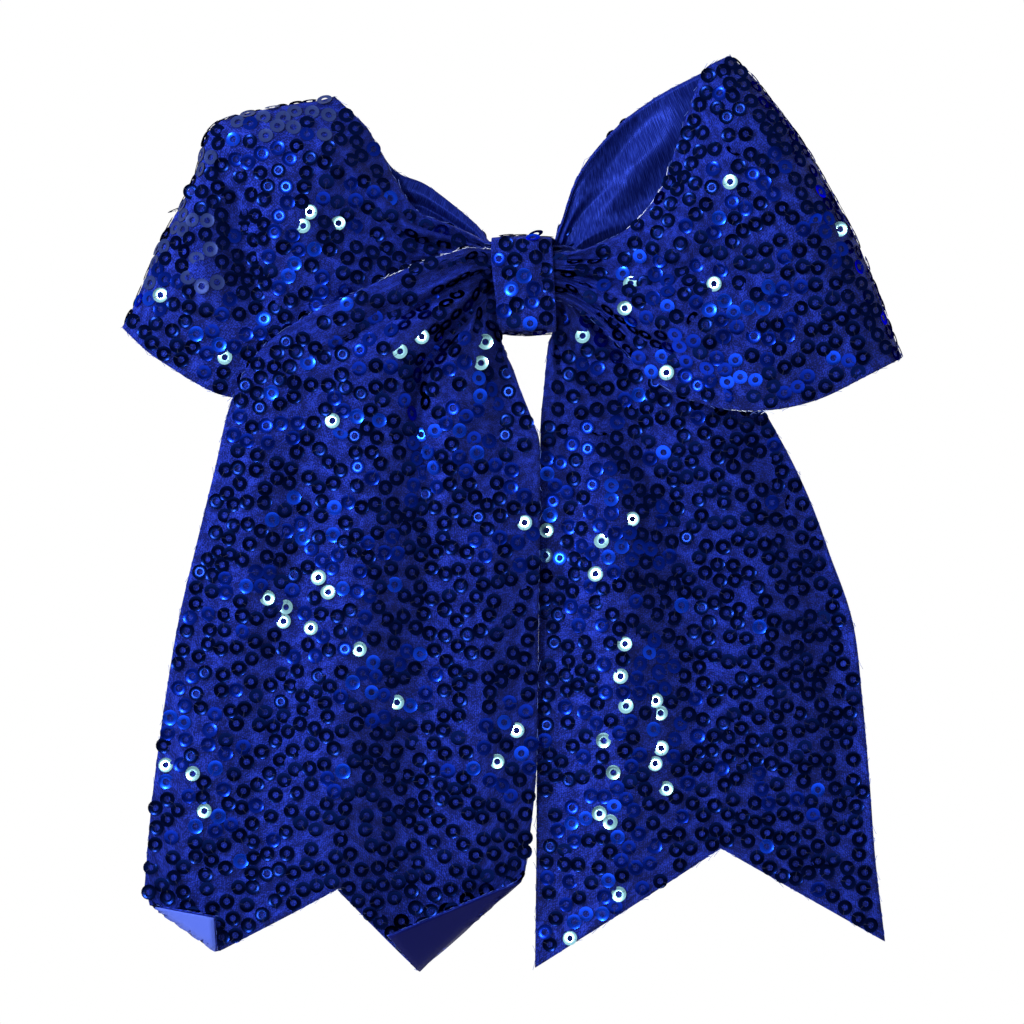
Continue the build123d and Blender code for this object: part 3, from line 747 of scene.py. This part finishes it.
def sequin_slot(p, n, lit, sheen_patches, reflection_spots, rng):
    """The slot of one sequin: the lit one gets the painted glint; some near the sheen patches, and a few at
    random, get a painted blue sheen, and more around them a fainter one; those near the reflection spots get
    a painted pale reflection of the soft light."""
    draw, chance, around = rng.random(), 0.0, 0.0
    if n[1] < AT_FRONT:
        chance = nearness(p, sheen_patches)
        around = nearness(p, [(x, z, 3 * r) for x, z, r in sheen_patches])
    slot = PAINTED_GLINT if lit else PAINTED_BLUE_SHEEN if draw < 0.75 * chance + 0.02 else NAVY
    if slot == NAVY and rng.random() < 0.6 * around + 0.05:
        slot = PAINTED_FAINT_SHEEN
    if n[1] < 0.1 and rng.random() < nearness(p, reflection_spots):
        slot = PAINTED_PALE_REFLECTION
    return slot


def sequin_way(n, slot, way, rng):
    """Where one sequin faces in the end: at the glints to the key light, and a few at random hang loose."""
    if slot == PAINTED_GLINT:
        return aim(GLINT_WAY, rng, GLINT_SPREAD)
    return aim(n, rng, LOOSE_SPREAD) if rng.random() < LOOSE_SHARE else way


def sequins(name, places, seed, glints, sheen_patches, reflection_spots):
    """One mesh of many sequins. The nearest ones to the glints are turned to catch the key light, and their
    base colour is also a painted glint.
    """
    rng = random.Random(seed)
    lit = nearest_to(places, glints)
    sheen_patches = [*sheen_patches, *((x, z, GLINT_REACH) for x, z in glints)]
    shape, faces, count, ring_faces = sequin_template()
    all_points, all_faces, slots = [], [], []
    for number, (p, n) in enumerate(places):
        facing = abs(n[1]) > FACING
        smooth = n + np.array([0, 0.5 * math.copysign(1, n[1]) * facing, 0])
        way = aim(unit(smooth), rng, 5 if facing else 1.5)
        slot = sequin_slot(p, n, number in lit, sheen_patches, reflection_spots, rng)
        way = sequin_way(n, slot, way, rng)
        side = unit(np.cross(way, (0.3, 0.2, 0.9)))
        turn = rng.uniform(0, TURN)
        side = side * math.cos(turn) + np.cross(way, side) * math.sin(turn)
        basis = np.stack([side, np.cross(way, side), way])
        size = rng.uniform(0.96, 1.04)
        leaning = math.sqrt(max(1 - float(np.dot(way, n)), 0))
        lift = rng.uniform(0.08, 0.22) + min(0.9 * leaning, 0.45)
        all_points.append(shape * size @ basis + p + n * lift)
        all_faces.append(faces + number * count)
        slots += [slot] * ring_faces + [THREAD] * (len(faces) - ring_faces)
    faces = np.concatenate(all_faces).tolist()
    piece = smooth_mesh(name, np.concatenate(all_points), faces, *SEQUIN_MATERIALS)
    piece.data.polygons.foreach_set("material_index", slots)
    return piece


# -------- materials

def new_material(name, colour, roughness, metallic=0.0, **constants):
    material = bpy.data.materials.new(name)
    material.use_nodes = True
    shader = material.node_tree.nodes["Principled BSDF"]
    shader.inputs["Base Color"].default_value = (*colour, 1)
    shader.inputs["Roughness"].default_value = roughness
    shader.inputs["Metallic"].default_value = metallic
    for key, value in constants.items():
        shader.inputs[key.replace("_", " ")].default_value = value
    return material


class Nodes:
    """Short calls for building a material's nodes."""

    def __init__(self, material):
        self.tree = material.node_tree
        self.shader = self.tree.nodes["Principled BSDF"]

    def add(self, kind, **settings):
        node = self.tree.nodes.new(kind)
        for key, value in settings.items():
            if hasattr(node, key):
                setattr(node, key, value)
            else:
                node.inputs[key.replace("_", " ")].default_value = value
        return node

    def join(self, out, into):
        self.tree.links.new(out, into)

    def texture(self, kind, place, **settings):
        node = self.add(f"ShaderNodeTex{kind}", **settings)
        self.join(place, node.inputs["Vector"])
        return node

    def scaled(self, source, scale):
        node = self.add("ShaderNodeMapping")
        node.inputs["Scale"].default_value = scale
        self.join(source, node.inputs["Vector"])
        return node.outputs["Vector"]

    def colour(self, value, stops):
        """The base colour, from a value: each stop is a place on the ramp and its colour."""
        node = self.add("ShaderNodeValToRGB")
        while len(node.color_ramp.elements) < len(stops):
            node.color_ramp.elements.new(0.5)
        for element, (place, colour) in zip(node.color_ramp.elements, stops):
            element.position = place
            element.color = (*colour, 1)
        self.join(value, node.inputs["Fac"])
        self.join(node.outputs["Color"], self.shader.inputs["Base Color"])

    def bump(self, height, distance, strength):
        node = self.add("ShaderNodeBump")
        node.inputs["Distance"].default_value = distance
        node.inputs["Strength"].default_value = strength
        self.join(height, node.inputs["Height"])
        self.join(node.outputs["Normal"], self.shader.inputs["Normal"])


def cloth_coordinates(nodes):
    return nodes.add("ShaderNodeUVMap", uv_map="cloth").outputs["UV"]


KNIT_TINT = (0.6, 0.7, 1.0, 1)
SATIN_TINT = (0.22, 0.36, 1.0, 1)


def knit_material():
    """Royal blue warp-knit ground: fine columns of stitches, with slight mottling."""
    material = new_material(
        "sequin_ground_knit", (0.007, 0.018, 0.26), 0.85, Specular_IOR_Level=0.25, Specular_Tint=KNIT_TINT,
    )
    nodes = Nodes(material)
    cloth = cloth_coordinates(nodes)
    place = nodes.scaled(cloth, (2.7, 3.3, 1))
    stitches = nodes.texture("Voronoi", place, feature="F1", Scale=1.0, Randomness=0.55)
    mottle = nodes.texture("Noise", cloth, Scale=0.45, Detail=4.0)
    mix = nodes.add("ShaderNodeMath", operation="MULTIPLY_ADD")
    nodes.join(stitches.outputs["Distance"], mix.inputs[0])
    mix.inputs[1].default_value = 0.8
    nodes.join(mottle.outputs["Fac"], mix.inputs[2])
    nodes.colour(
        mix.outputs["Value"],
        ((0.35, (0.017, 0.042, 0.47)), (0.75, (0.0065, 0.018, 0.25)), (1.0, (0.0012, 0.004, 0.07))),
    )
    nodes.bump(stitches.outputs["Distance"], -0.0003, 0.9)
    return material


def satin_material():
    """Royal blue satin: long smooth floats that run across the ribbon, with fine streaks."""
    material = new_material(
        "satin_lining", (0.01, 0.024, 0.2), 0.36, metallic=0.4, Anisotropic=0.5, Specular_IOR_Level=0.15,
        Specular_Tint=SATIN_TINT,
    )
    nodes = Nodes(material)
    place = nodes.scaled(cloth_coordinates(nodes), (0.35, 4.5, 1))
    streaks = nodes.texture("Noise", place, Scale=1.0, Detail=5.0)
    nodes.colour(
        streaks.outputs["Fac"],
        ((0.36, (0.0022, 0.006, 0.08)), (0.52, (0.006, 0.014, 0.17)), (0.66, (0.016, 0.038, 0.34))),
    )
    nodes.bump(streaks.outputs["Fac"], 0.00012, 0.6)
    return material


def object_coordinates(nodes):
    return nodes.add("ShaderNodeTexCoord").outputs["Object"]


def mottled(name, stops, roughness, noise_scale, bump_scale, bump_distance, stretch=(1, 1, 1), **constants):
    """A material with fine coloured noise and bumps from a finer noise, both placed in metres."""
    material = new_material(name, stops[len(stops) // 2][1], roughness, **constants)
    nodes = Nodes(material)
    place = nodes.scaled(object_coordinates(nodes), stretch)
    nodes.colour(nodes.texture("Noise", place, Scale=noise_scale, Detail=5.0).outputs["Fac"], stops)
    fine = nodes.texture("Noise", place, Scale=bump_scale, Detail=4.0)
    nodes.bump(fine.outputs["Fac"], bump_distance, 0.8)
    return material


FELT_COLOURS = ((0.3, (0.012, 0.02, 0.13)), (0.5, (0.02, 0.034, 0.2)), (0.75, (0.04, 0.06, 0.28)))
GLUE_COLOURS = ((0.3, (0.66, 0.64, 0.55)), (0.5, (0.74, 0.72, 0.64)), (0.8, (0.82, 0.80, 0.73)))
STEEL_COLOURS = ((0.3, (0.50, 0.51, 0.53)), (0.5, (0.60, 0.61, 0.63)), (0.75, (0.68, 0.69, 0.70)))
THREAD_COLOURS = ((0.3, (0.012, 0.024, 0.2)), (0.5, (0.02, 0.04, 0.3)), (0.8, (0.04, 0.07, 0.4)))
PLEAT_COLOURS = ((0.3, (0.008, 0.02, 0.19)), (0.5, (0.017, 0.041, 0.30)), (0.8, (0.03, 0.068, 0.42)))


def grosgrain_material():
    """Ribbed ribbon round the clip's arm: the ribs run across it."""
    material = new_material("grosgrain_ribs", (0.03, 0.07, 0.45), 0.7, Specular_IOR_Level=0.25)
    nodes = Nodes(material)
    ribs = nodes.texture("Wave", object_coordinates(nodes), Scale=330.0, Distortion=0.4)
    nodes.colour(ribs.outputs["Fac"], ((0.1, (0.012, 0.03, 0.22)), (0.6, (0.028, 0.06, 0.4))))
    nodes.bump(ribs.outputs["Fac"], 0.0002, 0.9)
    return material


KNIT = knit_material()
SATIN = satin_material()
# Lighter and darker copies of the satin for the folded tips: painted sheen and painted shade
SATIN_PAINTED_SHEEN = new_material(
    "satin_painted_sheen", (0.051, 0.087, 0.43), 0.5, Specular_IOR_Level=0.15, Specular_Tint=SATIN_TINT,
)
SATIN_PAINTED_SHADE = new_material(
    "satin_painted_shade", (0.003, 0.0033, 0.058), 0.5, Specular_IOR_Level=0.1, Specular_Tint=SATIN_TINT,
)
FRAY = new_material("fray_thread", (0.04, 0.08, 0.36), 0.6)
FILAMENT = new_material("nylon_filament", (0.55, 0.60, 0.78), 0.3)
STEEL = mottled(
    "nickel_plated_steel", STEEL_COLOURS, 0.28, 500, 2600, 0.00003, stretch=(0.08, 1, 1), metallic=1.0,
)
CAD_LOOKS = {
    "ribbon_pinch": mottled("gathered_knit", PLEAT_COLOURS, 0.85, 900, 3000, 0.0002, Specular_IOR_Level=0.15),
    "binding_thread": mottled("waxed_thread", THREAD_COLOURS, 0.5, 2200, 4200, 0.0001),
    "pad_glue": mottled("hot_melt_glue", GLUE_COLOURS, 0.32, 260, 500, 0.0005),
    "clip_glue": mottled("hot_melt_glue", GLUE_COLOURS, 0.32, 260, 500, 0.0005),
    "felt_pad": mottled("felt_fibres", FELT_COLOURS, 0.95, 1400, 3800, 0.0004, Specular_IOR_Level=0.1),
    "clip_cover": grosgrain_material(),
    "clip_upper_arm": STEEL,
    "clip_lower_jaw": STEEL,
    "clip_pin": STEEL,
}


EDGE_TINT = (0.03, 0.06, 0.30, 1)
# Navy and the thread are the sequins' own colours; the other four are painted light: a blue sheen, a glint, a
# pale reflection of the soft light and a fainter blue sheen, in that order
SEQUIN_MATERIALS = [
    new_material("sequin_navy", (0.0014, 0.0058, 0.052), 0.2, 1.0, Specular_Tint=EDGE_TINT),
    new_material("sequin_painted_blue_sheen", (0.007, 0.06, 0.80), 0.25, 1.0, Specular_Tint=EDGE_TINT),
    new_material("sequin_painted_glint", (0.42, 0.85, 1.0), 0.2, 1.0, Specular_Tint=EDGE_TINT),
    new_material("sequin_thread", (0.002, 0.005, 0.04), 0.6),
    new_material("sequin_painted_pale_reflection", (0.022, 0.042, 0.19), 0.45, 0.8),
    new_material("sequin_painted_faint_sheen", (0.003, 0.018, 0.30), 0.22, 1.0, Specular_Tint=EDGE_TINT),
]


# -------- build

SECTIONS = {
    "left_loop": left_loop_grid(),
    "right_loop": right_loop_grid(),
    "left_tail": left_tail_grid(),
    "right_tail": right_tail_grid(),
    "knot_wrap": knot_grid(),
}
# Spots along the cut edges, (x, z, radius), where the photograph shows loose threads
FRAY_SPOTS = {
    "left_loop": [(-70, -24, 5)],
    "right_loop": [(26, 17, 7), (48, -27, 5)],
    "left_tail": [(-20, 5, 14), (-43, -131, 7)],
    "right_tail": [(40, -124, 4)],
}
JOINTS = {joint["child"]: joint["pos_m"] for joint in frame["joints"]}
TIPS_BELOW = -122
BETWEEN_TIPS = -45
FOLDED_OVER = 0.2  # satin of the tips that looks further back than this isn't folded over


def length_along(grid):
    return float(norm(np.diff(grid, axis=0), axis=2).sum(0).mean())


def two_layers(name, grid, nodes, flat):
    """The sequin cloth and the satin of one section."""
    pieces = []
    for layer, near, far, material, slot, suffix in (
        ("cloth", 0.0, FACE, KNIT, "sequin_cloth", "_face"),
        ("satin", FACE + BETWEEN, FACE + BETWEEN + LINING, SATIN, "satin", "_lining"),
    ):
        piece = sheet_mesh(f"{name}_{layer}", grid, near, far, material, gathered=name != "knot_wrap")
        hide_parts(*[node + suffix for node in nodes])
        pieces.append(piece)
    return pieces


def turned_corners(satin, grid):
    """The satin of the two folded tips gets painted light: a lighter satin paints sheen on the left tip,
    and a darker one paints shade on the right tip.
    """
    satin.data.materials.append(SATIN_PAINTED_SHEEN)
    satin.data.materials.append(SATIN_PAINTED_SHADE)
    side = (grid.shape[0] - 1) * (grid.shape[1] - 1)
    # folded-over satin: painted sheen on the left tip, painted shade on the right tip
    for face in list(satin.data.polygons)[side:2 * side]:
        if face.center.z < TIPS_BELOW * MM and face.normal.y < FOLDED_OVER:
            face.material_index = 1 if face.center.x < BETWEEN_TIPS * MM else 2


def is_tail(section):
    return section.endswith("tail")


def carry(piece, section):
    """Loops and the wrap ride the bow. Tails are left in place, with their transforms baked into their
    meshes.
    """
    if not is_tail(section):
        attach(piece, "bow")
        return
    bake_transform(piece)


def cut_edges(section, grid):
    """The ribbon's long edges, and a tail's foot, each with a line a little way inside it."""
    edges = [(grid[:, 0], grid[:, 3]), (grid[:, -1], grid[:, -4])]
    return edges + [(grid[-1], grid[-4])] if is_tail(section) else edges


def inside_knot(p):
    return KNOT_LEFT - 0.3 < p[0] < KNOT_RIGHT + 0.3 and abs(p[2]) < KNOT_HIDES


def behind_pad(p):
    return p[1] > PAD_FRONT_Y


for node, material in CAD_LOOKS.items():
    for holder in frame["nodes"][node].material_slots:
        holder.material = material
for section, grid in SECTIONS.items():
    width, held = (WRAP, "folded") if section == "knot_wrap" else (RIBBON, "gathered")
    nodes = [section]
    if is_tail(section):
        held = "hung"
        nodes.append(f"{section}_top")
    cloth, satin = two_layers(section, grid, nodes, (width, length_along(grid) * MM))
    if section == "left_tail":
        turned_corners(satin, grid)
    carry(cloth, section)
    carry(satin, section)
for number, (section, spots) in enumerate(FRAY_SPOTS.items()):
    edges = cut_edges(section, SECTIONS[section])
    for kind, spacing, material, only_spots in (
        ("frays", 2.6, FRAY, False), ("cut_filaments", 1.1, FILAMENT, True),
    ):
        paths = frays(edges, spacing, 60 + number, spots, only_spots)
        piece = tube_mesh(f"{section}_{kind}", paths, 0.05, 4, material)
        carry(piece, section)


PIN = Vector(JOINTS["clip_jaw"]) / MM
WIRE_RADIUS = 0.35
COIL_RADIUS = 1.7
COIL_PITCH = 0.76
HANDLE_SLOPE = math.radians(17)
OPENING = math.radians(28)
LEG = 8


def spring_paths():
    """The coil with the leg along the upper arm, and the leg that bears on the lower jaw's handle."""
    start, end = math.pi / 2 + HANDLE_SLOPE, 7.5 * math.pi
    height = (end - start) / TURN * COIL_PITCH

    def on_coil(angle):
        climb = max(angle - start, 0) / (end - start) - 0.5
        return np.array(PIN) + (COIL_RADIUS * math.cos(angle), COIL_RADIUS * math.sin(angle), climb * height)

    coil = [on_coil(angle) for angle in np.linspace(start - OPENING, end, 130)]
    handle_way = np.array([math.cos(HANDLE_SLOPE), math.sin(HANDLE_SLOPE), 0])
    handle_leg = [on_coil(start) + handle_way * d for d in np.linspace(-0.2, LEG, 9)]
    arm_leg = [on_coil(end) + (d, 0, 0) for d in np.linspace(0.3, LEG, 9)]
    return coil + arm_leg, handle_leg


coil_path, handle_path = spring_paths()
coil = tube_mesh("spring_coil", [coil_path], WIRE_RADIUS, 14, STEEL)
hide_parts("clip_spring")
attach(coil, "bow")
handle_leg = tube_mesh("spring_handle_leg", [handle_path], WIRE_RADIUS, 14, STEEL)
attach(handle_leg, "clip_jaw")


# Sequins turned to the key light and painted bright as glints, by x and z; patches of painted blue sheen, by
# x, z and radius
GLINTS = {
    "left_loop": [(-48.5, 14.6), (-49.2, 10.2), (-42, 13.5), (-81.2, -2.6), (-68.1, -16.5)],
    "right_loop": [(43.5, 20), (65.7, 11.3), (22.2, 2), (21.8, -5.7), (39, 1.3), (28.1, -18.3)],
    "left_tail": [
        (-24.6, -10), (-28, -12), (-10.8, -11.8), (-11.6, -16.4), (-43.1, -30.3), (-46.4, -65.1),
        (-52.9, -71.2), (-52, -75), (-48.3, -73.5), (-42.5, -68.1), (-58.8, -68.1), (-38.1, -81.4),
        (-30, -88.8), (-4.2, -53), (-4, -97), (-5.8, -103), (-79.7, -106.2), (-73.6, -106.2), (-71, -115),
    ],
    "right_tail": [
        (10.2, -9.6), (12.4, -12.2), (22.9, -51.6), (15, -57.3), (14.6, -61), (19.6, -79.7), (18.5, -87),
        (18.3, -92), (16.8, -98.6), (16.8, -106.5), (15.7, -115), (17.4, -118.4), (25.9, -91.5),
        (29.4, -94.5), (28.7, -100), (27.6, -105.8), (27.2, -109.5), (17.2, -133.5), (20.6, -133.5),
        (7.6, -142.4), (3, -52), (3, -58),
    ],
}
PAINTED_SHEEN_PATCHES = {
    "left_loop": [(-57.7, 28.5, 2), (-44.5, -9, 3), (-52, 2, 3), (-72, -11, 2.5)],
    "right_loop": [(29, -6.5, 3), (37, -5, 3), (48, -5, 3), (45, -20, 5)],
    "left_tail": [(-53.3, -30.3, 2.5), (-36, -27, 3), (-21.5, -32, 5), (-48.5, -56, 3), (-36, -87, 2.5),
                  (-76, -99, 4), (-12, -21, 3)],
    "right_tail": [(22, -80, 2.5), (26.6, -97, 2.5), (16.5, -112, 3), (11, -136, 3), (7, -118, 2.5),
                   (18, -45, 3), (3, -45, 3)],
    "knot_wrap": [(-1.5, 1.5, 2)],
}
# Spots where sequins get a painted pale reflection of the soft light, by x, z and radius
PAINTED_REFLECTION_SPOTS = {
    "left_loop": [(-46, 38, 4.5), (-56, 37, 4.5), (-65, 35, 4), (-71, 28, 3.5), (-75, 14, 3.5), (-73, 7, 3.5),
                  (-70.5, 0, 3.5), (-84, 3, 3), (-81, 10, 3)],
    "right_loop": [(20, 8, 2)],
}
for number, (section, grid) in enumerate(SECTIONS.items()):
    places = scatter(grid, behind_pad if section == "knot_wrap" else inside_knot, seed=20 + number)
    spots = GLINTS.get(section, ()), PAINTED_SHEEN_PATCHES[section], PAINTED_REFLECTION_SPOTS.get(section, ())
    piece = sequins(f"{section}_sequins", places, 40 + number, *spots)
    carry(piece, section)


# -------- the rest of the scene

DIP_SHARPNESS = 9.0
FLOOR_REACH = 2
FLOOR_Z = -0.6
CAMERA_Y = -1.205
CAMERA_LENS = 192


def area_light(name, way, distance, size, energy):
    """A square light in the given direction from the bow, which it faces."""
    lamp = bpy.data.lights.new(name, "AREA")
    lamp.size = size
    lamp.energy = energy
    light = link(lamp, name)
    way = Vector(way).normalized()
    light.location = MIDDLE + way * distance
    light.rotation_euler = (-way).to_track_quat("-Z", "Y").to_euler()
    return light


def white_world(level, rise, dip):
    """A white backdrop that lights the bow more softly than it looks: more from above than from below, and
    least from straight in front, where the photographer stands."""
    world = bpy.data.worlds.new("studio")
    bpy.context.scene.world = world
    world.use_nodes = True
    tree = world.node_tree

    def compute(operation, *values):
        node = tree.nodes.new("ShaderNodeMath")
        node.operation = operation
        for socket, value in zip(node.inputs, values):
            if isinstance(value, float):
                socket.default_value = value
            else:
                tree.links.new(value, socket)
        return node.outputs["Value"]

    split = tree.nodes.new("ShaderNodeSeparateXYZ")
    tree.links.new(tree.nodes.new("ShaderNodeTexCoord").outputs["Generated"], split.inputs["Vector"])
    light = compute("MULTIPLY_ADD", split.outputs["Z"], rise, level)
    front = compute("MAXIMUM", compute("MULTIPLY", split.outputs["Y"], -1.0), 0.0)
    shade = compute("MULTIPLY_ADD", compute("POWER", front, DIP_SHARPNESS), -dip, light)
    path = tree.nodes.new("ShaderNodeLightPath")
    background = tree.nodes["Background"]
    background.inputs["Color"].default_value = (1, 1, 1, 1)
    tree.links.new(compute("MAXIMUM", shade, path.outputs["Is Camera Ray"]), background.inputs["Strength"])


def pale_floor():
    mesh = bpy.data.meshes.new("floor")
    corners = [(-1, -1), (1, -1), (1, 1), (-1, 1)]
    mesh.from_pydata([(x * FLOOR_REACH, y * FLOOR_REACH, FLOOR_Z) for x, y in corners], [], [(0, 1, 2, 3)])
    mesh.materials.append(new_material("floor_white", (0.92, 0.92, 0.92), 0.9))
    link(mesh, "floor")


def photograph_camera():
    data = bpy.data.cameras.new("camera")
    data.lens = CAMERA_LENS
    camera = link(data, "camera")
    camera.location = (MIDDLE.x, CAMERA_Y, MIDDLE.z)
    camera.rotation_euler = (math.pi / 2, 0, 0)
    bpy.context.scene.camera = camera


white_world(0.42, 0.40, 0.3)
area_light("key", KEY_WAY, 0.9, 0.07, 3.8)
softbox = area_light("softbox", (-0.85, -0.5, 0.5), 1.1, 0.45, 24)
softbox.visible_glossy = False  # sequins would mirror it as a white patch
area_light("back_softbox", (0.5, 0.7, 0.5), 1.3, 1.1, 9)
pale_floor()
photograph_camera()
bpy.context.scene.view_settings.view_transform = "Standard"
